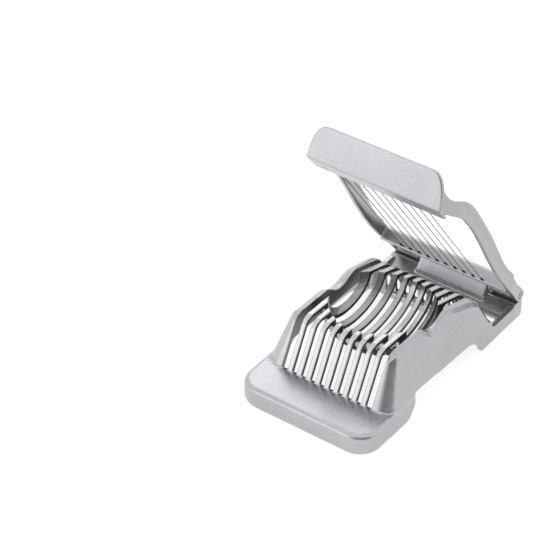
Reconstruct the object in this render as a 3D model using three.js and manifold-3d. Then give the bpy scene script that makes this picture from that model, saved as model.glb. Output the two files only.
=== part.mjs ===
// Egg slicer: a die-cast aluminium base with nine egg ribs, and a cast lid frame strung with ten wires.
// Millimetres, +Z up, +X to the right, the hinge towards +Y. The origin is the centre of the footprint.
import * as THREE from 'three';
import Module from 'manifold-3d';
import { mergeVertices } from 'three/addons/utils/BufferGeometryUtils.js';

const wasm = await Module();
wasm.setup();

// ---- driving dimensions -------------------------------------------------------------------------
const BASE_LENGTH = 146;
const BASE_HALF_WIDTH = 40;
const GAP = 0.3;

const FOOT_HEIGHT = 12.3;
const FOOT_LENGTH = 46;
const FOOT_CORNER_RADIUS = 10;
const FOOT_EDGE_RADIUS = 2.4;
const DECK_THICKNESS = 2.7;
const DECK_REAR = 23.8;
const CASTING_WALL = 2.4;

const BODY_FRONT = 20.8;
const SLOT_FIELD_HALF_WIDTH = 27;
const LIP_THICKNESS = 2.2;
const BODY_HALF_WIDTH = 38;
const WALL_TOP_HALF_WIDTH = 32.4;

const WIRE_COUNT = 10;
const WIRE_PITCH = 5.53;
const WIRE_RADIUS = 0.22;
const RIB_WIDTH = 2.9;
const RIB_DEPTH = 2.1;
const RIB_FILLET = 2.6;

const CRADLE = { y: 71.7, z: 33.4, halfWidth: 26.6, halfLength: 29.4, depth: 18.1 };
const CRADLE_STEPS = 14;

const ARCH_FRONT = 37.2;
const ARCH_REAR = 106;
const REAR_PLATE_FRONT = 104;
const RIM_HEIGHT = 8.5;
const RIM_WIDTH = 4.1;
const FLOOR_TOP = 4.6;
const FLOOR_BOTTOM = 2.2;
const CROSS_BAR_FRONT = 114.8;
const UNDERSIDE_REAR = 141;
const REAR_WALL_TOP = 9.6;
const REAR_WALL_FRONT = 138.8;
const WINDOW = { halfWidth: 33, front: 119.8, rear: 129.3 };

const HINGE_Y = 142.4;
const HINGE_Z = 13.5;
const HINGE_RADIUS = 3.5;
const PIN_RADIUS = 1.6;
const PIN_BORE_RADIUS = 1.9;
const PIN_HALF_LENGTH = 39.6;
const PIN_CHAMFER = 0.3;
const PIN_SLOT = { width: 0.7, depth: 0.6, turn: 35 };
const KNUCKLE_HALF_WIDTH = 21;
const LUG_INNER = 22.3;

// The lid is drawn shut and then swung up about the hinge by this angle.
const OPEN_ANGLE = 50.3;
const ARM_THICKNESS = 2.8;
const ARM_FRONT_FACE = 38.2;
const ARM_MIDDLE_FACE = 41.5;
const ARM_REAR_FACE = 39.2;
const REAR_BAR = { front: 121.2, wall: 2.2, bottom: 8.6, top: 17, webRear: 131.8 };
const GRIP = { nearY: 9.2, nearZ: 13.6, farY: -0.45, farZ: 29.3, thickness: 2.4, rearY: 20.6 };
const GRIP_HALF_WIDTH = 39;
const GRIP_CORNER = 9;
const WIRE_FRONT = { y: 12.6, z: 15.9 };
const WIRE_REAR = { y: 119.2, z: 10 };
const BEAD_RADIUS = 0.6;
const BEAD_LENGTH = 1.4;
const CLAMP = { front: 13, rear: 19.4, halfWidth: 33, thickness: 2.4 };
const SCREW = { x: 29.8, headRadius: 2.3, headHeight: 1.4, shankRadius: 1.1 };

// ---- materials ----------------------------------------------------------------------------------
const castAluminium = new THREE.MeshStandardMaterial({ color: 0xb9bbbf, roughness: 0.5, metalness: 0.9 });
const steel = new THREE.MeshStandardMaterial({ color: 0xc9cbce, roughness: 0.3, metalness: 1 });
const darkSteel = new THREE.MeshStandardMaterial({ color: 0x2c2d30, roughness: 0.55, metalness: 0.8 });

// ---- from geometry to solid and back ------------------------------------------------------------
function toSolid(geometry) {
  const bare = geometry.clone();
  bare.deleteAttribute('normal');
  bare.deleteAttribute('uv');
  const merged = mergeVertices(bare, 1e-4);
  return new wasm.Manifold(new wasm.Mesh({
    numProp: 3,
    vertProperties: new Float32Array(merged.attributes.position.array),
    triVerts: new Uint32Array(merged.index.array),
  }));
}

function toGeometry(solid) {
  const mesh = solid.getMesh();
  const geometry = new THREE.BufferGeometry();
  geometry.setAttribute('position', new THREE.BufferAttribute(new Float32Array(mesh.vertProperties), 3));
  geometry.setIndex(new THREE.BufferAttribute(new Uint32Array(mesh.triVerts), 1));
  geometry.computeVertexNormals();
  return geometry;
}

function addAll(solids) {
  return solids.reduce((whole, solid) => whole.add(solid));
}

// ---- extrusions along the three axes ------------------------------------------------------------
function outline(points) {
  return new THREE.Shape(points.map(([u, v]) => new THREE.Vector2(u, v)));
}

// Points are [y, z]; the solid runs from x = from to x = to.
function alongX(points, from, to) {
  const geometry = new THREE.ExtrudeGeometry(outline(points), { depth: to - from, bevelEnabled: false });
  const turn = new THREE.Matrix4().makeBasis(
    new THREE.Vector3(0, 1, 0),
    new THREE.Vector3(0, 0, 1),
    new THREE.Vector3(1, 0, 0),
  );
  geometry.applyMatrix4(turn);
  geometry.translate(from, 0, 0);
  return geometry;
}

// Points are [x, z]; the solid runs from y = from to y = to.
function alongY(points, from, to) {
  const geometry = new THREE.ExtrudeGeometry(outline(points), { depth: to - from, bevelEnabled: false });
  geometry.rotateX(Math.PI / 2);
  geometry.translate(0, to, 0);
  return geometry;
}

function block(xFrom, xTo, yFrom, yTo, zFrom, zTo) {
  const geometry = new THREE.BoxGeometry(xTo - xFrom, yTo - yFrom, zTo - zFrom);
  geometry.translate((xFrom + xTo) / 2, (yFrom + yTo) / 2, (zFrom + zTo) / 2);
  return geometry;
}

function rodAlongX(radius, halfLength, y, z, sides) {
  const geometry = new THREE.CylinderGeometry(radius, radius, 2 * halfLength, sides);
  geometry.rotateZ(Math.PI / 2);
  geometry.translate(0, y, z);
  return geometry;
}

function mirrored(points) {
  return points.concat(points.slice().reverse().map(([x, z]) => [-x, z]));
}

function arcPoints(centreY, centreZ, radius, fromDegrees, toDegrees, steps) {
  return Array.from({ length: steps + 1 }, (_, i) => {
    const angle = THREE.MathUtils.degToRad(fromDegrees + (toDegrees - fromDegrees) * i / steps);
    return [centreY + radius * Math.cos(angle), centreZ + radius * Math.sin(angle)];
  });
}

// A plate seen from above, with rounded corners and rounded rims, from z = bottom to z = top.
function roundedPlate(halfWidth, front, rear, bottom, top, frontRadius, rearRadius, rim) {
  const shape = new THREE.Shape();
  const [x, y0, y1] = [halfWidth - rim, front + rim, rear - rim];
  shape.moveTo(-x + frontRadius, y0);
  shape.lineTo(x - frontRadius, y0);
  shape.absarc(x - frontRadius, y0 + frontRadius, frontRadius, -Math.PI / 2, 0, false);
  shape.lineTo(x, y1 - rearRadius);
  shape.absarc(x - rearRadius, y1 - rearRadius, rearRadius, 0, Math.PI / 2, false);
  shape.lineTo(-x + rearRadius, y1);
  shape.absarc(-x + rearRadius, y1 - rearRadius, rearRadius, Math.PI / 2, Math.PI, false);
  shape.lineTo(-x, y0 + frontRadius);
  shape.absarc(-x + frontRadius, y0 + frontRadius, frontRadius, Math.PI, 1.5 * Math.PI, false);
  const geometry = new THREE.ExtrudeGeometry(shape, {
    depth: top - bottom - 2 * rim,
    bevelEnabled: true,
    bevelThickness: rim,
    bevelSize: rim,
    bevelSegments: 2,
    curveSegments: 6,
  });
  geometry.translate(0, 0, bottom + rim);
  return geometry;
}

// ---- base casting -------------------------------------------------------------------------------
function frontCrest(y) {
  return 38.2 - 0.03 * (y - 40);
}

function rearCrest(y) {
  return 35.4 - 0.3 * (y - 87);
}

const FRONT_SLOPE = [[BODY_FRONT, 9], [34, 34.6], [36.1, 37.1], [39.4, 38.2]];
const REAR_SLOPE = [[105.5, rearCrest(105.5)], [109.5, 27.2], [112.2, 23.6], [116.6, 14], [118, 3]];

function bodyOuter() {
  const profile = [
    ...FRONT_SLOPE,
    [61.5, frontCrest(61.5)],
    [65, 35.6],
    [68.5, 32.8],
    [72.5, 31.5],
    [77, 32.2],
    [82.5, 34.6],
    [87, rearCrest(87)],
    ...REAR_SLOPE,
    [118, 0],
    [BODY_FRONT, 0],
  ].reverse();
  const section = mirrored([
    [BASE_HALF_WIDTH - 0.6, 0],
    [BASE_HALF_WIDTH - 0.6, 4],
    [BODY_HALF_WIDTH, 12.6],
    [WALL_TOP_HALF_WIDTH, 34],
    [WALL_TOP_HALF_WIDTH - 1.2, 36.8],
    [WALL_TOP_HALF_WIDTH - 3.4, 39],
  ]);
  const across = toSolid(alongX(profile, -BASE_HALF_WIDTH, BASE_HALF_WIDTH));
  return across.intersect(toSolid(alongY(section, 0, BASE_LENGTH)));
}

function bodyCavity() {
  const profile = [
    [BODY_FRONT + 3, -1],
    [BODY_FRONT + 3, 9],
    [36.5, 33.5],
    [40, 35.4],
    [60, 34.8],
    [68, 29.6],
    [76, 29],
    [86, 32.2],
    [104.5, 26.9],
    [110, 21.5],
    [115.2, 10],
    [115.2, -1],
  ].reverse();
  const section = mirrored([
    [BASE_HALF_WIDTH - 3.1, -1],
    [BASE_HALF_WIDTH - 3.1, 4],
    [BODY_HALF_WIDTH - CASTING_WALL, 12],
    [WALL_TOP_HALF_WIDTH - CASTING_WALL + 0.6, 33],
    [SLOT_FIELD_HALF_WIDTH + LIP_THICKNESS, 36],
    [SLOT_FIELD_HALF_WIDTH + LIP_THICKNESS, 24.5],
    [0, 24.5],
  ]);
  const across = toSolid(alongX(profile, -BASE_HALF_WIDTH, BASE_HALF_WIDTH));
  return across.intersect(toSolid(alongY(section, 0, BASE_LENGTH)));
}

function slotField() {
  const profile = [
    [BODY_FRONT - 2, FOOT_HEIGHT],
    [DECK_REAR - 0.2, FOOT_HEIGHT],
    [DECK_REAR + 0.7, 8],
    [119, FLOOR_TOP],
    [126, FLOOR_TOP],
    [126, 45],
    [BODY_FRONT - 2, 45],
  ];
  return toSolid(alongX(profile, -SLOT_FIELD_HALF_WIDTH, SLOT_FIELD_HALF_WIDTH));
}

function footHollow() {
  const under = FOOT_HEIGHT - DECK_THICKNESS;
  return toSolid(roundedPlate(BASE_HALF_WIDTH - 3, 3, FOOT_LENGTH + 8, -4, under, 7, 3, 1));
}

function foot() {
  const slab = toSolid(roundedPlate(
    BASE_HALF_WIDTH, 0, FOOT_LENGTH, 0, FOOT_HEIGHT, FOOT_CORNER_RADIUS, 2, FOOT_EDGE_RADIUS,
  ));
  return slab.subtract(toSolid(block(-36.6, 36.6, DECK_REAR, FOOT_LENGTH + 1, -1, FOOT_HEIGHT + 1)));
}

function rearPlate() {
  const slab = toSolid(roundedPlate(
    BASE_HALF_WIDTH - 0.4, REAR_PLATE_FRONT, BASE_LENGTH, 0, RIM_HEIGHT, 1, 2, 1,
  ));
  const rearWall = [
    [130, 0],
    [BASE_LENGTH - 0.6, 0],
    [BASE_LENGTH - 0.6, REAR_WALL_TOP],
    [REAR_WALL_FRONT, REAR_WALL_TOP],
    [130, FLOOR_TOP - 0.5],
  ];
  const valley = [
    [112, FLOOR_TOP],
    [130.4, FLOOR_TOP],
    [REAR_WALL_FRONT, REAR_WALL_TOP],
    [REAR_WALL_FRONT, 30],
    [112, 30],
  ];
  const inside = BASE_HALF_WIDTH - RIM_WIDTH;
  return slab
    .add(toSolid(alongX(rearWall, 1 - BASE_HALF_WIDTH, BASE_HALF_WIDTH - 1)))
    .subtract(toSolid(alongX(valley, -inside, inside)))
    .subtract(toSolid(block(-36.6, 36.6, REAR_PLATE_FRONT - 1, CROSS_BAR_FRONT, -1, 20)))
    .subtract(toSolid(block(-36.6, 36.6, REAR_PLATE_FRONT - 1, UNDERSIDE_REAR, -1, FLOOR_BOTTOM)));
}

function knuckle() {
  const profile = [
    [134.5, 4],
    [145.9, 4],
    ...arcPoints(HINGE_Y, HINGE_Z, HINGE_RADIUS, 0, 165, 8),
    [134.5, 8.4],
  ];
  return toSolid(alongX(profile, -KNUCKLE_HALF_WIDTH, KNUCKLE_HALF_WIDTH));
}

// The egg cradle is part of an ellipsoid; this is the size of its section at offset x.
function cradleScale(x) {
  return Math.sqrt(1 - (x / CRADLE.halfWidth) ** 2);
}

function cradleArc(x, from, to) {
  const scale = cradleScale(x);
  return Array.from({ length: CRADLE_STEPS + 1 }, (_, i) => {
    const angle = THREE.MathUtils.degToRad(from + (to - from) * i / CRADLE_STEPS);
    return [
      CRADLE.y + CRADLE.halfLength * scale * Math.cos(angle),
      CRADLE.z + CRADLE.depth * scale * Math.sin(angle),
    ];
  });
}

// Seen from the side, the casting's crest without the cradle.
const CREST_BEND = [81.85, frontCrest(81.85)];

function skyline(middle) {
  const line = [[BODY_FRONT - 7.73, -6], ...FRONT_SLOPE, ...middle, ...REAR_SLOPE, [118, -6]];
  return new wasm.CrossSection([line], 'EvenOdd');
}

function cradleSkyline(x) {
  const arc = cradleArc(x, 180, 352).filter(([y, z]) => z < rearCrest(y) - 0.4);
  const front = arc[0][0] - 1;
  const rear = arc[arc.length - 1][0] + 2;
  return skyline([[front, frontCrest(front)], ...arc, [rear, rearCrest(rear)]]);
}

// The cradle is the lower half of an ellipsoid, open upwards.
function cradleHollow() {
  const { y, z, halfWidth, halfLength, depth } = CRADLE;
  const bowl = new THREE.SphereGeometry(1, 48, 24);
  bowl.rotateX(Math.PI / 2);
  bowl.scale(halfWidth, halfLength, depth);
  bowl.translate(0, y, z);
  const mouth = new THREE.CylinderGeometry(1, 1, 15, 48);
  mouth.rotateX(Math.PI / 2);
  mouth.scale(halfWidth, halfLength, 1);
  mouth.translate(0, y, z + 7.5);
  return toSolid(bowl).add(toSolid(mouth));
}

// A rib runs from the deck, through the cradle, to the cross bar at the rear. It is a band of even depth
// on its inner side, and a fillet fills the narrow corners under its two crests.
function rib(x, hollow) {
  const inner = Math.max(Math.abs(x) - RIB_WIDTH / 2, 0);
  const filled = cradleSkyline(inner);
  const core = filled.offset(-RIB_DEPTH, 'Miter', 2);
  const filleted = filled.subtract(core)
    .offset(RIB_FILLET, 'Round', 2, 24)
    .offset(-RIB_FILLET, 'Round', 2, 24);
  const kept = new wasm.CrossSection([[
    [15, FOOT_HEIGHT - 2.2],
    [70, FOOT_HEIGHT - 2.2],
    [70, FLOOR_BOTTOM + 0.4],
    [125, FLOOR_BOTTOM + 0.4],
    [125, 50],
    [15, 50],
  ]], 'EvenOdd');
  const band = skyline([CREST_BEND]).subtract(core.subtract(filleted)).intersect(kept).simplify(0.02);
  const solids = band.decompose().map(part =>
    toSolid(alongX(part.toPolygons()[0], x - RIB_WIDTH / 2, x + RIB_WIDTH / 2)));
  return addAll(solids).subtract(hollow);
}

function ribs() {
  const hollow = cradleHollow();
  return Array.from({ length: WIRE_COUNT - 1 }, (_, i) => rib((i - (WIRE_COUNT - 2) / 2) * WIRE_PITCH, hollow));
}

function baseCasting() {
  const arch = [
    [ARCH_FRONT, -1],
    [ARCH_FRONT + 0.5, 0.6],
    [46.6, 12.6],
    [94, 10],
    [98, 9.2],
    [101.6, 6.8],
    [ARCH_REAR - 0.4, 0.6],
    [ARCH_REAR, -1],
  ].reverse();
  const shell = bodyOuter().subtract(bodyCavity()).subtract(slotField());
  return addAll([foot(), shell, rearPlate()])
    .subtract(footHollow())
    .subtract(toSolid(block(
      -WINDOW.halfWidth, WINDOW.halfWidth, WINDOW.front, WINDOW.rear, -1, FLOOR_TOP + 1,
    )))
    .add(addAll(ribs()))
    .add(knuckle())
    .subtract(toSolid(alongX(arch, -BASE_HALF_WIDTH - 2, BASE_HALF_WIDTH + 2)))
    .subtract(toSolid(rodAlongX(PIN_BORE_RADIUS, BASE_HALF_WIDTH, HINGE_Y, HINGE_Z, 16)));
}

// The pin's ends are chamfered and slotted for a screwdriver.
function hingePin() {
  const profile = [
    [0, -PIN_HALF_LENGTH],
    [PIN_RADIUS - PIN_CHAMFER, -PIN_HALF_LENGTH],
    [PIN_RADIUS, PIN_CHAMFER - PIN_HALF_LENGTH],
    [PIN_RADIUS, PIN_HALF_LENGTH - PIN_CHAMFER],
    [PIN_RADIUS - PIN_CHAMFER, PIN_HALF_LENGTH],
    [0, PIN_HALF_LENGTH],
  ].map(([radius, along]) => new THREE.Vector2(radius, along));
  const rod = new THREE.LatheGeometry(profile, 20);
  rod.rotateZ(-Math.PI / 2);
  const slots = [1, -1].map((side) => {
    const slot = new THREE.BoxGeometry(2 * PIN_SLOT.depth, 5, PIN_SLOT.width);
    slot.rotateX(THREE.MathUtils.degToRad(PIN_SLOT.turn));
    slot.translate(side * PIN_HALF_LENGTH, 0, 0);
    return toSolid(slot);
  });
  return toSolid(rod).subtract(addAll(slots)).translate([0, HINGE_Y, HINGE_Z]);
}

// ---- lid frame, drawn shut ----------------------------------------------------------------------
function ease(value, from, to) {
  const t = THREE.MathUtils.clamp((value - from) / (to - from), 0, 1);
  return t * t * (3 - 2 * t);
}

// The arms stand further out along the body than at the grip and at the hinge.
function armFace(y) {
  const spread = (ARM_MIDDLE_FACE - ARM_FRONT_FACE) * ease(y, 8, 24);
  return ARM_FRONT_FACE + spread - (ARM_MIDDLE_FACE - ARM_REAR_FACE) * ease(y, 121, 132);
}

function arm(side) {
  const upper = [
    [6.4, 22.8], [10, 22.4], [13, 22.3], [16, 22.5], [19, 23.5], [22, 24.8], [25, 26], [28, 26.9],
    [34, 27.6], [42, 27.3], [54, 26], [70, 24], [84, 21.4], [97, 19], [108, 18], [116, 18.4], [120.5, 17], [126, 16.9], [131, 16.9], [138, 17],
  ];
  const lower = [
    [134, 10.2], [131, 10.1], [128, 10.1], [124, 10.2], [120, 10.2], [108, 10.6], [96, 11.6], [81, 13.7],
    [65, 16.5], [54, 18.1], [46, 18.9], [34, 19.2], [28, 18.2], [25, 17.4], [22, 16.6], [19, 15.7],
    [16, 14.9], [13, 14.4], [10, 14],
  ];
  const boss = arcPoints(HINGE_Y, HINGE_Z, HINGE_RADIUS, 90, -90, 8);
  const profile = [...upper, ...boss, ...lower].reverse();
  const geometry = alongX(profile, 0, ARM_THICKNESS);
  const position = geometry.attributes.position;
  for (let i = 0; i < position.count; i += 1) {
    const face = armFace(position.getY(i)) - ARM_THICKNESS;
    position.setX(i, position.getX(i) + face);
  }
  const solid = toSolid(geometry);
  return side > 0 ? solid : solid.mirror([1, 0, 0]);
}

function rearBar() {
  const halfWidth = ARM_REAR_FACE - 1;
  const { front, wall, bottom, top, webRear } = REAR_BAR;
  const bar = [
    [front, bottom],
    [front + wall, bottom],
    [front + wall, top - 2.4],
    [webRear, top - 2.4],
    [webRear, top - 0.4],
    [front + 1.4, top],
    [front, top - 1],
  ];
  const lug = [
    [webRear - 2, top - 2.4],
    [HINGE_Y - 3.6, HINGE_Z - 1],
    ...arcPoints(HINGE_Y, HINGE_Z, HINGE_RADIUS, 225, 450, 10),
    [webRear - 2, top - 0.4],
  ];
  return addAll([
    toSolid(alongX(bar, -halfWidth, halfWidth)),
    toSolid(alongX(lug, LUG_INNER, halfWidth)),
    toSolid(alongX(lug, -halfWidth, -LUG_INNER)),
  ]);
}

// The grip's face, drawn flat: wide at its lower edge and swept in to a narrower upper edge.
function gripShape(inset, drop) {
  const { nearY, nearZ, farY, farZ } = GRIP;
  const top = Math.hypot(farY - nearY, farZ - nearZ) - inset;
  const low = GRIP_HALF_WIDTH - inset;
  const shape = new THREE.Shape();
  shape.moveTo(-low, -drop);
  shape.lineTo(low, -drop);
  shape.lineTo(low - 0.6, 6);
  shape.bezierCurveTo(low - 1.8, 14, low - 0.5 * GRIP_CORNER, top, low - GRIP_CORNER, top);
  shape.lineTo(GRIP_CORNER - low, top);
  shape.bezierCurveTo(0.5 * GRIP_CORNER - low, top, 1.8 - low, 14, 0.6 - low, 6);
  shape.closePath();
  return shape;
}

// The face stands on the grip's near edge and leans outwards; depth runs back from it.
function gripSlab(inset, drop, depth) {
  const { nearY, nearZ, farY, farZ } = GRIP;
  const slab = new THREE.ExtrudeGeometry(gripShape(inset, drop), {
    depth,
    bevelEnabled: false,
    curveSegments: 8,
  });
  const across = new THREE.Vector3(1, 0, 0);
  const up = new THREE.Vector3(0, farY - nearY, farZ - nearZ).normalize();
  const outward = across.clone().cross(up);
  slab.translate(0, 0, -depth);
  slab.applyMatrix4(new THREE.Matrix4().makeBasis(across, up, outward));
  slab.translate(0, nearY, nearZ);
  return toSolid(slab);
}

// Side webs follow the face's swept edges and carry it on the arms.
function gripWebs() {
  const { nearY, nearZ, rearY } = GRIP;
  const profile = [
    [nearY + 0.6, nearZ + 0.2],
    [rearY, nearZ + 0.8],
    [rearY - 2, 22.8],
    [13, 22.3],
    [9, 22.7],
    [6.2, 24.2],
    [4.2, 26.6],
    [2.6, 29.6],
    [0.6, 29.6],
  ];
  const rim = gripSlab(0.5, 0, 20).subtract(gripSlab(2.9, 8, 22));
  return rim.intersect(toSolid(alongX(profile, -GRIP_HALF_WIDTH, GRIP_HALF_WIDTH)));
}

function combNotch(index) {
  const geometry = new THREE.CylinderGeometry(1.3, 1.3, 12, 12);
  geometry.rotateX(Math.PI / 2);
  geometry.translate(wireX(index), GRIP.rearY + 0.5, GRIP.nearZ);
  return toSolid(geometry);
}

function grip() {
  const { nearY, nearZ, rearY, thickness } = GRIP;
  const tray = [
    [nearY, nearZ],
    [rearY, nearZ - 0.3],
    [rearY, nearZ + 1.1],
    [nearY + 2.4, nearZ + 1.6],
  ];
  const comb = addAll(Array.from({ length: WIRE_COUNT }, (_, index) => combNotch(index)));
  const trayEnd = GRIP_HALF_WIDTH - 0.9;
  return addAll([
    gripSlab(0, 0, thickness),
    gripWebs(),
    toSolid(alongX(tray, -trayEnd, trayEnd)).subtract(comb),
  ]);
}

function lidFrame() {
  return addAll([grip(), rearBar(), arm(1), arm(-1)])
    .subtract(toSolid(rodAlongX(PIN_BORE_RADIUS, BASE_HALF_WIDTH + 5, HINGE_Y, HINGE_Z, 16)))
    .subtract(toSolid(screwRod(1, PIN_BORE_RADIUS - 0.5, GRIP.nearZ - 2, GRIP.nearZ + 4)))
    .subtract(toSolid(screwRod(-1, PIN_BORE_RADIUS - 0.5, GRIP.nearZ - 2, GRIP.nearZ + 4)));
}

// ---- wires, beads, clamp and screws -------------------------------------------------------------
function screwRod(side, radius, zFrom, zTo) {
  const geometry = new THREE.CylinderGeometry(radius, radius, zTo - zFrom, 12);
  geometry.rotateX(Math.PI / 2);
  geometry.translate(side * SCREW.x, (CLAMP.front + CLAMP.rear) / 2, (zFrom + zTo) / 2);
  return geometry;
}

function wireX(index) {
  return (index - (WIRE_COUNT - 1) / 2) * WIRE_PITCH;
}

function rodBetween(radius, x, fromY, fromZ, toY, toZ, sides) {
  const geometry = new THREE.CylinderGeometry(radius, radius, Math.hypot(toY - fromY, toZ - fromZ), sides);
  geometry.rotateX(Math.atan2(toZ - fromZ, toY - fromY));
  geometry.translate(x, (fromY + toY) / 2, (fromZ + toZ) / 2);
  return geometry;
}

function wire(index) {
  return rodBetween(WIRE_RADIUS, wireX(index), WIRE_FRONT.y, WIRE_FRONT.z, WIRE_REAR.y, WIRE_REAR.z, 8);
}

function bead(index) {
  const from = WIRE_REAR.y + GAP;
  return rodBetween(BEAD_RADIUS, wireX(index), from, WIRE_REAR.z, from + BEAD_LENGTH, WIRE_REAR.z, 10);
}

const CLAMP_BOTTOM = WIRE_FRONT.z + WIRE_RADIUS + GAP;
const CLAMP_TOP = CLAMP_BOTTOM + CLAMP.thickness;

function clampBar() {
  const bar = block(-CLAMP.halfWidth, CLAMP.halfWidth, CLAMP.front, CLAMP.rear, CLAMP_BOTTOM, CLAMP_TOP);
  return [1, -1].reduce(
    (solid, side) => solid.subtract(toSolid(screwRod(side, SCREW.shankRadius + GAP, 0, 40))),
    toSolid(bar),
  );
}

function clampScrew(side) {
  const shank = toSolid(screwRod(side, SCREW.shankRadius, GRIP.nearZ, CLAMP_TOP + 1));
  const headFrom = CLAMP_TOP + GAP;
  const head = toSolid(screwRod(side, SCREW.headRadius, headFrom, headFrom + SCREW.headHeight));
  const slot = block(
    side * SCREW.x - 3, side * SCREW.x + 3,
    (CLAMP.front + CLAMP.rear) / 2 - 0.35, (CLAMP.front + CLAMP.rear) / 2 + 0.35,
    headFrom + 0.8, headFrom + 3,
  );
  return shank.add(head).subtract(toSolid(slot));
}

// ---- assembly -----------------------------------------------------------------------------------
function piece(name, geometry, material) {
  const mesh = new THREE.Mesh(geometry, material);
  mesh.name = name;
  return mesh;
}

const slicer = new THREE.Group();
slicer.position.y = -BASE_LENGTH / 2;
slicer.add(piece('base_casting', toGeometry(baseCasting()), castAluminium));
slicer.add(piece('hinge_pin', toGeometry(hingePin()), steel));

// Everything on the lid swings about the hinge pin.
const lidPivot = new THREE.Group();
lidPivot.position.set(0, HINGE_Y, HINGE_Z);
lidPivot.rotation.x = THREE.MathUtils.degToRad(-OPEN_ANGLE);
const lid = new THREE.Group();
lid.position.set(0, -HINGE_Y, -HINGE_Z);
lidPivot.add(lid);
slicer.add(lidPivot);

lid.add(piece('lid_frame', toGeometry(lidFrame()), castAluminium));
for (let i = 0; i < WIRE_COUNT; i += 1) {
  const number = String(i + 1).padStart(2, '0');
  lid.add(piece(`cutting_wire_${number}`, wire(i), steel));
  lid.add(piece(`wire_bead_${number}`, bead(i), darkSteel));
}
lid.add(piece('wire_clamp_bar', toGeometry(clampBar()), steel));
lid.add(piece('clamp_screw_left', toGeometry(clampScrew(-1)), steel));
lid.add(piece('clamp_screw_right', toGeometry(clampScrew(1)), steel));

export default slicer;
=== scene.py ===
"""Looks of the egg slicer: cast bodies softened from the CAD frame, satin aluminium, steel wires."""

import math

import bpy
import numpy as np
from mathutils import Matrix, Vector


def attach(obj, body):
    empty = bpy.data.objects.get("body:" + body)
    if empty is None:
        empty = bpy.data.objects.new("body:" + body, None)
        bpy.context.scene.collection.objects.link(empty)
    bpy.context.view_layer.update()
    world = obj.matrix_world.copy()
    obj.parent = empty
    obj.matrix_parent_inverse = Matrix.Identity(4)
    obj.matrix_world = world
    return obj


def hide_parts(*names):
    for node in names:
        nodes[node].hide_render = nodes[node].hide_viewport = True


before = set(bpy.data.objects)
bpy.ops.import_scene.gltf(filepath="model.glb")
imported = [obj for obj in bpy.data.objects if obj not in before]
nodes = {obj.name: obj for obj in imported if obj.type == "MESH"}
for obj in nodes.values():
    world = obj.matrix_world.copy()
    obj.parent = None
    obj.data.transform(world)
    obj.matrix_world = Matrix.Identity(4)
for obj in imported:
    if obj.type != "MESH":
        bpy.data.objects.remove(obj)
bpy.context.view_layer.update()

MM = 0.001

# Camera: the photograph's viewing angle, in degrees, and its place and lens, in millimetres.
CAMERA_AZIMUTH = 36.477
CAMERA_ELEVATION = 37.176
CAMERA_PLACE = (494.144, -768.392, 748.609)
CAMERA_LENS = 155.34
CAMERA_SENSOR = 36.0
CAMERA_NEAREST = 50.0
CAMERA_FARTHEST = 30000.0

# Cast surfaces: the CAD solid is remeshed finely, then relaxed, which rounds its edges as a casting's are.
VOXEL = 0.35 * MM
RIB_RELAX_STEPS = 1
SKIN_RELAX_STEPS = 16
LID_RELAX_STEPS = 8
RELAX_STRENGTH = 0.5

# The rib field of the base, in millimetres from the footprint's centre, as all places below are.
SLOT_FIELD_HALF_WIDTH = 27.4
SLOT_FIELD_FRONT = -51.2
SLOT_FIELD_REAR = 45.0
# Its cradle: from behind the front crest back to the rear crest, and below a line that falls to the rear.
CRADLE_FRONT = -31.6
CRADLE_REAR = 32.0
CRADLE_TOP = 36.8
CRADLE_TOP_PLACE = 7.0
REAR_TOP = 25.5

# The base's outer faces on the right half, each a point and an outward normal.
FRONT_SLOPE = ((0, -52.2, 9.0), (0, -0.889, 0.458))
SIDE_SKIN = ((38.0, 0, 12.6), (0.967, 0, 0.253))
FRONT_CREST = ((0, -20.0, 37.6), (0, 0.03, 1.0))
REAR_SLOPE = ((0, 43.6, 14.0), (0, 0.909, 0.417))
# The side walls stand outside this half width and above this height, just over the foot and the rims.
WALL_INNER_FACE = 27.6
WALL_FOOT = 12.6
# The part of the walls with the front corners ends here, and the part with the rear corners starts here.
FRONT_WALLS_END = -10.0
REAR_WALLS_START = 12.0

# The crest of the side walls, seen from the side, as places along the base and their heights.
CREST_PLACES = (-34.0, -11.5, -8.0, -4.5, -0.5, 4.0, 9.5, 14.0, 32.5, 36.5)
CREST_HEIGHTS = (38.2, 37.6, 35.6, 32.8, 31.5, 32.2, 34.6, 35.4, 29.9, 27.2)
CREST_SOFTNESS = 1.5
CREST_STEP = 0.25
CREST_MARGIN = 6.0

# The upright front corners are rounder at the foot than at the crest. The other edges have one radius each.
FRONT_CORNER_HEIGHTS = (13.0, 33.0)
FRONT_CORNER_RADII = (8.0, 4.8)
FRONT_CREST_RADIUS = 5.0
SIDE_CREST_RADIUS = 4.6
REAR_CORNER_RADIUS = 5.0
SMALLEST_REACH = 1e-6

# Edges of the CAD's own small steel parts.
STEEL_BEVEL = 0.15 * MM
WIRE_BEVEL = 0.05 * MM
BEVEL_SEGMENTS = 2


# ---- materials -------------------------------------------------------------------------------------
# Where a noise texture's values mostly lie. Its scale is per metre, so the grain is about 0.4 mm fine.
NOISE_LOW, NOISE_HIGH = 0.3, 0.7
GRAIN_NOISE = {"scale": 2300, "detail": 3, "roughness": 0.7}
MOTTLE_NOISE = {"scale": 300, "detail": 4, "roughness": 0.6}
PATCH_NOISE = {"scale": 35, "detail": 2}
STREAK_NOISE = {"scale": 900, "detail": 2}
SPOT_NOISE = {"scale": 1200, "detail": 3}
FLOOR_NOISE = {"scale": 3, "detail": 2}

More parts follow.
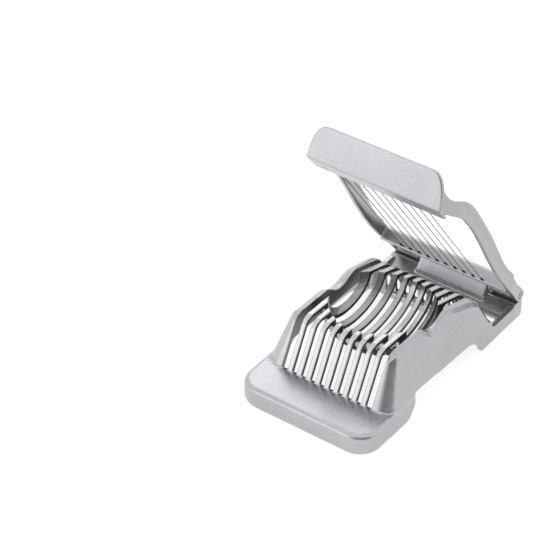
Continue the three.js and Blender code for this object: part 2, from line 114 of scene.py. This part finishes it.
# Cast aluminium: a fine grain, a mottle and wide patches, and how far each moves the tone from its middle.
CAST_DARK = (0.36, 0.364, 0.376, 1)
CAST_LIGHT = (0.555, 0.56, 0.572, 1)
GRAIN_SWING = 0.8
MOTTLE_SWING = 0.15
PATCH_SWING = 0.2
CAST_ROUGHNESS = (0.26, 0.32)
CAST_BUMP = 0.15
GRAIN_DEPTH = 0.02 * MM
MOTTLE_DEPTH = 0.10 * MM

# Faces that look sideways get painted shade, a little darker: from which sideways part of the normal, and how
# much.
FLANK_PAINTED_SHADE = (0.36, 0.363, 0.372, 1)
FLANK_TURN = (0.75, 0.95)
BASE_FLANK_AMOUNT = 0.35
LID_FLANK_AMOUNT = 0.75

# The rib field: painted light on the tops, painted shade in the cradle that is darker on its left, and
# painted shade that makes the rib sides nearly black.
TOP_PAINTED_LIGHT = (0.57, 0.573, 0.58, 1)
TOP_LIGHT_TURN = (0.25, 0.45)
TOP_LIGHT_AMOUNT = 0.85
CRADLE_DARK = (0.38, 0.383, 0.39, 1)
CRADLE_LIGHT = (0.60, 0.603, 0.61, 1)
CRADLE_SHADE = (-18.0, 12.0)
CRADLE_FADE = 0.8
CRADLE_AMOUNT = 0.8
SLOT_PAINTED_SHADE = (0.05, 0.05, 0.053, 1)
SLOT_SIDE_TURN = (0.85, 0.95)
SLOT_UNDER_TURN = (-0.25, -0.45)
SLOT_ROUGHNESS = 0.3
FIELD_SIDE_FADE = 0.5
FIELD_END_FADE = 1.0
# The painted shade on the inner faces of the side walls, at the edge of the field, is less dark than on the
# rib sides.
INNER_WALL = (25.0, 26.0)
INNER_WALL_AMOUNT = 0.65

# Drawn steel: fine streaks across the object, between two shares of its shade.
STEEL_SHADE = 0.45
WIRE_SHADE = 0.10
STREAK_STRETCH = (1.0, 0.03, 0.03)
STREAK_SHARES = (0.6, 1.15)
STREAK_ROUGHNESS = (0.22, 0.34)

# Dark steel: the wire ends.
DARK_SPOTS = ((0.012, 0.012, 0.013, 1), (0.05, 0.05, 0.052, 1))
DARK_SPOT_RANGE = (0.35, 0.65)
DARK_ROUGHNESS = (0.4, 0.6)
DARK_METAL = 0.7

FLOOR_SHADES = ((0.27, 0.27, 0.27, 1), (0.29, 0.29, 0.29, 1))
FLOOR_GLOW = 0.84


class Nodes:
    """A short way to write a material's node tree."""

    def __init__(self, name):
        self.material = bpy.data.materials.new(name)
        self.material.use_nodes = True
        self.tree = self.material.node_tree
        self.shader = self.tree.nodes["Principled BSDF"]
        self.place = self.add("ShaderNodeTexCoord").outputs["Object"]

    def add(self, kind, **settings):
        node = self.tree.nodes.new(kind)
        for key, value in settings.items():
            setattr(node, key, value)
        return node

    def put(self, value, socket):
        """Links a node's output to the socket, or sets the socket to a number or a colour."""
        if isinstance(value, bpy.types.NodeSocket):
            self.tree.links.new(value, socket)
        else:
            socket.default_value = value

    def noise(self, scale, detail, roughness=0.5, place=None):
        node = self.add("ShaderNodeTexNoise")
        node.inputs["Scale"].default_value = scale
        node.inputs["Detail"].default_value = detail
        node.inputs["Roughness"].default_value = roughness
        self.put(place or self.place, node.inputs["Vector"])
        return node.outputs["Fac"]

    def stretched(self, scale):
        node = self.add("ShaderNodeMapping")
        node.inputs["Scale"].default_value = scale
        self.put(self.place, node.inputs["Vector"])
        return node.outputs["Vector"]

    def parts(self, vector):
        """A vector's X, Y and Z."""
        split = self.add("ShaderNodeSeparateXYZ")
        self.put(vector, split.inputs[0])
        return [split.outputs[axis] for axis in "XYZ"]

    def facing(self):
        """How far the surface looks sideways, to either side, and how far it looks up."""
        across, _, up = self.parts(self.add("ShaderNodeNewGeometry").outputs["Normal"])
        return self.maths("ABSOLUTE", across), up

    def maths(self, operation, first, second=0.0):
        node = self.add("ShaderNodeMath", operation=operation)
        self.put(first, node.inputs[0])
        self.put(second, node.inputs[1])
        return node.outputs[0]

    def spread(self, value, from_low, from_high, to_low=0.0, to_high=1.0):
        """Maps one range of a value onto another, and stops at its ends."""
        node = self.add("ShaderNodeMapRange")
        self.put(value, node.inputs["Value"])
        for name, number in zip(("From Min", "From Max", "To Min", "To Max"),
                                (from_low, from_high, to_low, to_high)):
            node.inputs[name].default_value = number
        return node.outputs["Result"]

    def noise_spread(self, noise, to_low=0.0, to_high=1.0):
        return self.spread(noise, NOISE_LOW, NOISE_HIGH, to_low, to_high)

    def mix(self, factor, first, second):
        node = self.add("ShaderNodeMix", data_type="RGBA")
        self.put(factor, node.inputs["Factor"])
        self.put(first, node.inputs["A"])
        self.put(second, node.inputs["B"])
        return node.outputs["Result"]

    def bump(self, height, strength, distance, normal=None):
        node = self.add("ShaderNodeBump")
        node.inputs["Strength"].default_value = strength
        node.inputs["Distance"].default_value = distance
        self.put(height, node.inputs["Height"])
        if normal is not None:
            self.put(normal, node.inputs["Normal"])
        return node.outputs["Normal"]

    def set(self, **sockets):
        for name, value in sockets.items():
            self.put(value, self.shader.inputs[name.replace("_", " ")])


def cast_aluminium(name, flank_amount, ribbed):
    n = Nodes(name)
    grain = n.noise(**GRAIN_NOISE)
    mottle = n.noise(**MOTTLE_NOISE)
    patches = n.noise(**PATCH_NOISE)
    tone = n.maths("ADD", n.noise_spread(grain, -GRAIN_SWING, GRAIN_SWING),
                   n.noise_spread(mottle, -MOTTLE_SWING, MOTTLE_SWING))
    tone = n.maths("ADD", tone, n.noise_spread(patches, -PATCH_SWING, PATCH_SWING))
    colour = n.mix(n.spread(tone, -1.0, 1.0), CAST_DARK, CAST_LIGHT)
    rough = n.noise_spread(mottle, *CAST_ROUGHNESS)
    sideways, _ = n.facing()
    # Painted shade: faces that look sideways are darkened towards the flank tone.
    colour = n.mix(n.spread(sideways, *FLANK_TURN, 0.0, flank_amount), colour, FLANK_PAINTED_SHADE)
    if ribbed:
        shaded_rib_sides, tops, cradle = rib_field_masks(n)
        across, _, _ = n.parts(n.place)
        # Painted light: the field's faces that don't look sideways are lightened.
        colour = n.mix(n.maths("MULTIPLY", tops, TOP_LIGHT_AMOUNT), colour, TOP_PAINTED_LIGHT)
        # Painted shade: the cradle is darkened, more on its left than on its right.
        left, right = CRADLE_SHADE
        cradle_painted_shade = n.mix(n.spread(across, left * MM, right * MM), CRADLE_DARK, CRADLE_LIGHT)
        colour = n.mix(n.maths("MULTIPLY", cradle, CRADLE_AMOUNT), colour, cradle_painted_shade)
        # Painted shade: the rib sides and the faces under them are made nearly black.
        colour = n.mix(shaded_rib_sides, colour, SLOT_PAINTED_SHADE)
        rough = n.maths("ADD", rough, n.maths("MULTIPLY", shaded_rib_sides, SLOT_ROUGHNESS))
    fine = n.bump(grain, CAST_BUMP, GRAIN_DEPTH)
    normal = n.bump(mottle, CAST_BUMP, MOTTLE_DEPTH, fine)
    n.set(Base_Color=colour, Metallic=1.0, Roughness=rough, Normal=normal)
    return n.material


def between(n, mask, along, front, rear):
    """The mask, kept from the front to the rear only."""
    for edge, fade in ((rear, -FIELD_END_FADE), (front, FIELD_END_FADE)):
        mask = n.maths("MULTIPLY", mask, n.spread(along, edge * MM, (edge + fade) * MM))
    return mask


def rib_field_masks(n):
    """The rib field's painted shade on the rib sides, its painted light on the tops, and its cradle's painted
    shade.
    """
    sideways, up = n.facing()
    across, along, height = n.parts(n.place)
    off_centre = n.maths("ABSOLUTE", across)
    field = n.spread(off_centre, SLOT_FIELD_HALF_WIDTH * MM, (SLOT_FIELD_HALF_WIDTH - FIELD_SIDE_FADE) * MM)
    field = between(n, field, along, SLOT_FIELD_FRONT, SLOT_FIELD_REAR)
    # Painted shade falls on the field's faces that look sideways or down.
    sides = n.maths("MAXIMUM", n.spread(sideways, *SLOT_SIDE_TURN), n.spread(up, *SLOT_UNDER_TURN))
    sides = n.maths("MULTIPLY", sides, field)
    inner, outer = INNER_WALL
    sides = n.maths("MULTIPLY", sides, n.spread(off_centre, inner * MM, outer * MM, 1.0, INNER_WALL_AMOUNT))
    # Painted light goes on the field's faces that don't look sideways.
    tops = n.maths("MULTIPLY", n.spread(sideways, *TOP_LIGHT_TURN, 1.0, 0.0), field)
    # The cradle's painted shade lies below a line that falls to the rear.
    cradle_top = n.spread(along, CRADLE_TOP_PLACE * MM, SLOT_FIELD_REAR * MM, CRADLE_TOP * MM, REAR_TOP * MM)
    below = n.maths("SUBTRACT", cradle_top, height)
    cradle = n.maths("MULTIPLY", n.spread(below, 0.0, CRADLE_FADE * MM), field)
    cradle = between(n, cradle, along, CRADLE_FRONT, CRADLE_REAR)
    return sides, tops, cradle


def drawn_steel(name, shade):
    n = Nodes(name)
    streaks = n.noise(**STREAK_NOISE, place=n.stretched(STREAK_STRETCH))
    low, high = ((share * shade, share * shade, share * shade, 1) for share in STREAK_SHARES)
    colour = n.mix(n.noise_spread(streaks), low, high)
    n.set(Base_Color=colour, Metallic=1.0, Roughness=n.noise_spread(streaks, *STREAK_ROUGHNESS))
    return n.material


def dark_steel():
    n = Nodes("dark_steel")
    spots = n.noise(**SPOT_NOISE)
    colour = n.mix(n.spread(spots, *DARK_SPOT_RANGE), *DARK_SPOTS)
    n.set(Base_Color=colour, Metallic=DARK_METAL, Roughness=n.noise_spread(spots, *DARK_ROUGHNESS))
    return n.material


def floor_white():
    n = Nodes("floor_white")
    shade = n.mix(n.noise(**FLOOR_NOISE), *FLOOR_SHADES)
    n.set(Base_Color=shade, Roughness=1.0, Emission_Color=(1, 1, 1, 1), Emission_Strength=FLOOR_GLOW)
    return n.material


def paint(obj, material):
    obj.data.materials.clear()
    obj.data.materials.append(material)


# ---- cast skins ------------------------------------------------------------------------------------
def fine_skin(node, name):
    """A new mesh piece: the CAD solid remeshed into small even faces."""
    piece = bpy.data.objects.new(name, node.data.copy())
    bpy.context.scene.collection.objects.link(piece)
    remesh = piece.modifiers.new("remesh", "REMESH")
    remesh.mode = "VOXEL"
    remesh.voxel_size = VOXEL
    remesh.use_smooth_shade = True
    bpy.context.view_layer.update()
    evaluated = piece.evaluated_get(bpy.context.evaluated_depsgraph_get())
    mesh = bpy.data.meshes.new_from_object(evaluated)
    mesh.name = name
    piece.modifiers.clear()
    piece.data = mesh
    return piece


def points_of(mesh):
    """The mesh's points, in millimetres."""
    flat = np.empty(len(mesh.vertices) * 3)
    mesh.vertices.foreach_get("co", flat)
    return flat.reshape(-1, 3) / MM


def set_points(mesh, points):
    mesh.vertices.foreach_set("co", (points * MM).ravel())
    mesh.update()


def relax(points, mesh, steps):
    """Moves each point towards the middle of its neighbours, as many times as steps says for that point."""
    ends = np.empty(len(mesh.edges) * 2, dtype=np.int64)
    mesh.edges.foreach_get("vertices", ends)
    first, second = ends.reshape(-1, 2).T
    count = len(points)
    valence = np.bincount(first, minlength=count) + np.bincount(second, minlength=count)
    for step in range(int(steps.max())):
        total = np.stack([
            np.bincount(first, points[second, k], count) + np.bincount(second, points[first, k], count)
            for k in range(3)
        ], axis=1)
        middle = total / valence[:, None]
        strength = RELAX_STRENGTH * np.clip(steps - step, 0, 1)
        points = points + (middle - points) * strength[:, None]
    return points


def right_half(points):
    """The points mirrored onto the right half, and the side that each came from."""
    side = np.sign(points[:, 0])
    mirrored = points.copy()
    mirrored[:, 0] *= side
    return mirrored, side


def both_halves(points, mirrored, side):
    """The mirrored points back on their own sides. A point on the mid-plane stays where it was."""
    mirrored[:, 0] *= side
    return np.where((side == 0)[:, None], points, mirrored)


def unit(vector):
    return np.array(vector, float) / np.linalg.norm(vector)


def above(points, face):
    """How far each point is outside a face."""
    place, normal = face
    return (points - np.array(place, float)) @ unit(normal)


def onto_arc(points, depths, normals, radius, region):
    """Draws the region's points in, onto the arc that touches two faces. Depths are from the arc's axis."""
    reach = np.hypot(*depths)
    in_corner = region & (depths[0] > 0) & (depths[1] > 0) & (reach > radius)
    shrink = np.where(in_corner, radius / np.maximum(reach, SMALLEST_REACH) - 1, 0)
    return points + sum((depth * shrink)[:, None] * normal for depth, normal in zip(depths, normals))


def round_edge(points, face_a, face_b, radius, region):
    """Rounds the edge where two outer faces meet, on both sides of the mid-plane."""
    right, side = right_half(points)
    depths = [radius + above(right, face) for face in (face_a, face_b)]
    normals = [unit(normal) for _, normal in (face_a, face_b)]
    return both_halves(points, onto_arc(right, depths, normals, radius, region(right)), side)


def crest_line():
    """The crest of the side walls, softened: places along the base, heights and slopes."""
    places = np.arange(CREST_PLACES[0] - CREST_MARGIN, CREST_PLACES[-1] + CREST_MARGIN, CREST_STEP)
    heights = np.interp(places, CREST_PLACES, CREST_HEIGHTS)
    window = int(2 * CREST_SOFTNESS / CREST_STEP) + 1
    padded = np.pad(heights, window // 2, mode="edge")
    heights = np.convolve(padded, np.ones(window) / window, mode="valid")
    return places, heights, np.gradient(heights, places)


def round_crest(points, face, radius):
    """Rounds the edge between an outer face and the crest of the side walls, on both sides."""
    places, heights, slopes = crest_line()
    right, side = right_half(points)
    along = right[:, 1]
    slope = np.interp(along, places, slopes)
    crest_normal = np.stack([np.zeros_like(slope), -slope, np.ones_like(slope)], axis=1)
    crest_normal /= np.linalg.norm(crest_normal, axis=1)[:, None]
    above_crest = (right[:, 2] - np.interp(along, places, heights)) * crest_normal[:, 2]
    depths = [radius + above(right, face), radius + above_crest]
    region = (along > CREST_PLACES[0]) & (along < CREST_PLACES[-1]) & (right[:, 0] > WALL_INNER_FACE)
    moved = onto_arc(right, depths, [unit(face[1]), crest_normal], radius, region)
    return both_halves(points, moved, side)


def on_walls(right):
    return (right[:, 0] > WALL_INNER_FACE) & (right[:, 2] > WALL_FOOT)


def on_front_walls(right):
    return on_walls(right) & (right[:, 1] < FRONT_WALLS_END)


def on_rear_walls(right):
    return on_walls(right) & (right[:, 1] > REAR_WALLS_START)


def base_skin(node):
    piece = fine_skin(node, "base_skin")
    points = points_of(piece.data)
    corner_radius = np.interp(points[:, 2], FRONT_CORNER_HEIGHTS, FRONT_CORNER_RADII)
    points = round_edge(points, FRONT_SLOPE, SIDE_SKIN, corner_radius, on_front_walls)
    points = round_edge(points, FRONT_SLOPE, FRONT_CREST, FRONT_CREST_RADIUS, on_front_walls)
    points = round_crest(points, SIDE_SKIN, SIDE_CREST_RADIUS)
    points = round_edge(points, REAR_SLOPE, SIDE_SKIN, REAR_CORNER_RADIUS, on_rear_walls)
    in_ribs = ((np.abs(points[:, 0]) < SLOT_FIELD_HALF_WIDTH)
               & (points[:, 1] > SLOT_FIELD_FRONT - FIELD_END_FADE) & (points[:, 1] < SLOT_FIELD_REAR))
    steps = np.where(in_ribs, RIB_RELAX_STEPS, SKIN_RELAX_STEPS)
    set_points(piece.data, relax(points, piece.data, steps))
    return piece


def lid_skin(node):
    piece = fine_skin(node, "lid_skin")
    points = points_of(piece.data)
    steps = np.full(len(points), LID_RELAX_STEPS)
    set_points(piece.data, relax(points, piece.data, steps))
    return piece


# ---- the CAD's own small parts ---------------------------------------------------------------------
def bevelled(node, width):
    bevel = node.modifiers.new("edges", "BEVEL")
    bevel.width = width
    bevel.segments = BEVEL_SEGMENTS
    bevel.limit_method = "ANGLE"
    for face in node.data.polygons:
        face.use_smooth = True


def finish_small_parts(nodes):
    """The pin, the wires, their beads, the strip and its screws get a steel and a fine bevel each."""
    steel = drawn_steel("drawn_steel", STEEL_SHADE)
    dark = dark_steel()
    wire_steel = drawn_steel("wire_steel", WIRE_SHADE)
    for name, node in nodes.items():
        if name in ("base_casting", "lid_frame"):
            continue
        if name.startswith("cutting_wire"):
            paint(node, wire_steel)
            bevelled(node, WIRE_BEVEL)
        else:
            paint(node, dark if name.startswith("wire_bead") else steel)
            bevelled(node, STEEL_BEVEL)


# ---- stage -----------------------------------------------------------------------------------------
FLOOR_REACH = 6.0

# The studio: a darker side towards the front right, where the room is, and a bright tent behind on the left.
# Each is a direction, and how near a view has to be to it, as a cosine, for the change to begin and to end.
ROOM_SIDE = (0.64, -0.70, 0.32)
ROOM_EDGE = (0.55, 0.95)
TENT_SIDE = (-0.47, 0.64, 0.60)
TENT_EDGE = (0.7, 1.0)
SKY_LIGHT = 1.10
SKY_TENT = 1.2
SKY_DARK = 0.25
SKY_COLOUR = (0.985, 0.99, 1.0, 1)

# Two soft boxes, in metres and watts.
SOFT_BOXES = {"back_left": (-0.55, 0.72, 0.72), "front_left": (-0.55, -0.95, 0.32)}
SOFT_BOX_AIM = (0, 0, 0.03)
SOFT_BOX_SIZE = 0.5
SOFT_BOX_POWER = 0.6


def floor():
    mesh = bpy.data.meshes.new("floor")
    corners = [(across * FLOOR_REACH, along * FLOOR_REACH, 0)
               for across, along in ((-1, -1), (1, -1), (1, 1), (-1, 1))]
    mesh.from_pydata(corners, [], [(0, 1, 2, 3)])
    obj = bpy.data.objects.new("floor", mesh)
    bpy.context.scene.collection.objects.link(obj)
    paint(obj, floor_white())


def sky():
    world = bpy.data.worlds.new("studio")
    world.use_nodes = True
    tree = world.node_tree
    direction = tree.nodes.new("ShaderNodeTexCoord").outputs["Generated"]

    def toward(side, edge, outside, inside):
        """A brightness that goes from one value to another as the view nears a side."""
        dot = tree.nodes.new("ShaderNodeVectorMath")
        dot.operation = "DOT_PRODUCT"
        tree.links.new(direction, dot.inputs[0])
        dot.inputs[1].default_value = Vector(side).normalized()
        fall = tree.nodes.new("ShaderNodeMapRange")
        fall.interpolation_type = "SMOOTHSTEP"
        for name, number in zip(("From Min", "From Max", "To Min", "To Max"), (*edge, outside, inside)):
            fall.inputs[name].default_value = number
        tree.links.new(dot.outputs["Value"], fall.inputs["Value"])
        return fall.outputs["Result"]

    product = tree.nodes.new("ShaderNodeMath")
    product.operation = "MULTIPLY"
    tree.links.new(toward(ROOM_SIDE, ROOM_EDGE, 1.0, SKY_DARK), product.inputs[0])
    tree.links.new(toward(TENT_SIDE, TENT_EDGE, SKY_LIGHT, SKY_TENT), product.inputs[1])
    background = tree.nodes["Background"]
    tree.links.new(product.outputs[0], background.inputs["Strength"])
    background.inputs["Color"].default_value = SKY_COLOUR
    bpy.context.scene.world = world


def soft_boxes():
    for name, place in SOFT_BOXES.items():
        data = bpy.data.lights.new(name, "AREA")
        data.shape = "SQUARE"
        data.size = SOFT_BOX_SIZE
        data.energy = SOFT_BOX_POWER
        light = bpy.data.objects.new(name, data)
        light.location = place
        light.rotation_euler = (Vector(SOFT_BOX_AIM) - Vector(place)).to_track_quat("-Z", "Y").to_euler()
        bpy.context.scene.collection.objects.link(light)


def camera():
    data = bpy.data.cameras.new("photo_view")
    data.lens = CAMERA_LENS
    data.sensor_width = CAMERA_SENSOR
    data.clip_start = CAMERA_NEAREST * MM
    data.clip_end = CAMERA_FARTHEST * MM
    obj = bpy.data.objects.new("photo_view", data)
    azimuth, elevation = math.radians(CAMERA_AZIMUTH), math.radians(CAMERA_ELEVATION)
    forward = Vector((-math.sin(azimuth) * math.cos(elevation),
                      math.cos(azimuth) * math.cos(elevation),
                      -math.sin(elevation)))
    obj.location = Vector(CAMERA_PLACE) * MM
    obj.rotation_mode = "QUATERNION"
    obj.rotation_quaternion = forward.to_track_quat("-Z", "Y")
    bpy.context.scene.collection.objects.link(obj)
    bpy.context.scene.camera = obj


# ---- scene -----------------------------------------------------------------------------------------
finish_small_parts(nodes)

base = base_skin(nodes["base_casting"])
paint(base, cast_aluminium("cast_aluminium_ribbed", BASE_FLANK_AMOUNT, ribbed=True))
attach(base, "base")
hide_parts("base_casting")

lid = lid_skin(nodes["lid_frame"])
paint(lid, cast_aluminium("cast_aluminium", LID_FLANK_AMOUNT, ribbed=False))
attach(lid, "lid")
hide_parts("lid_frame")

floor()
sky()
soft_boxes()
camera()
bpy.context.scene.view_settings.view_transform = "Standard"
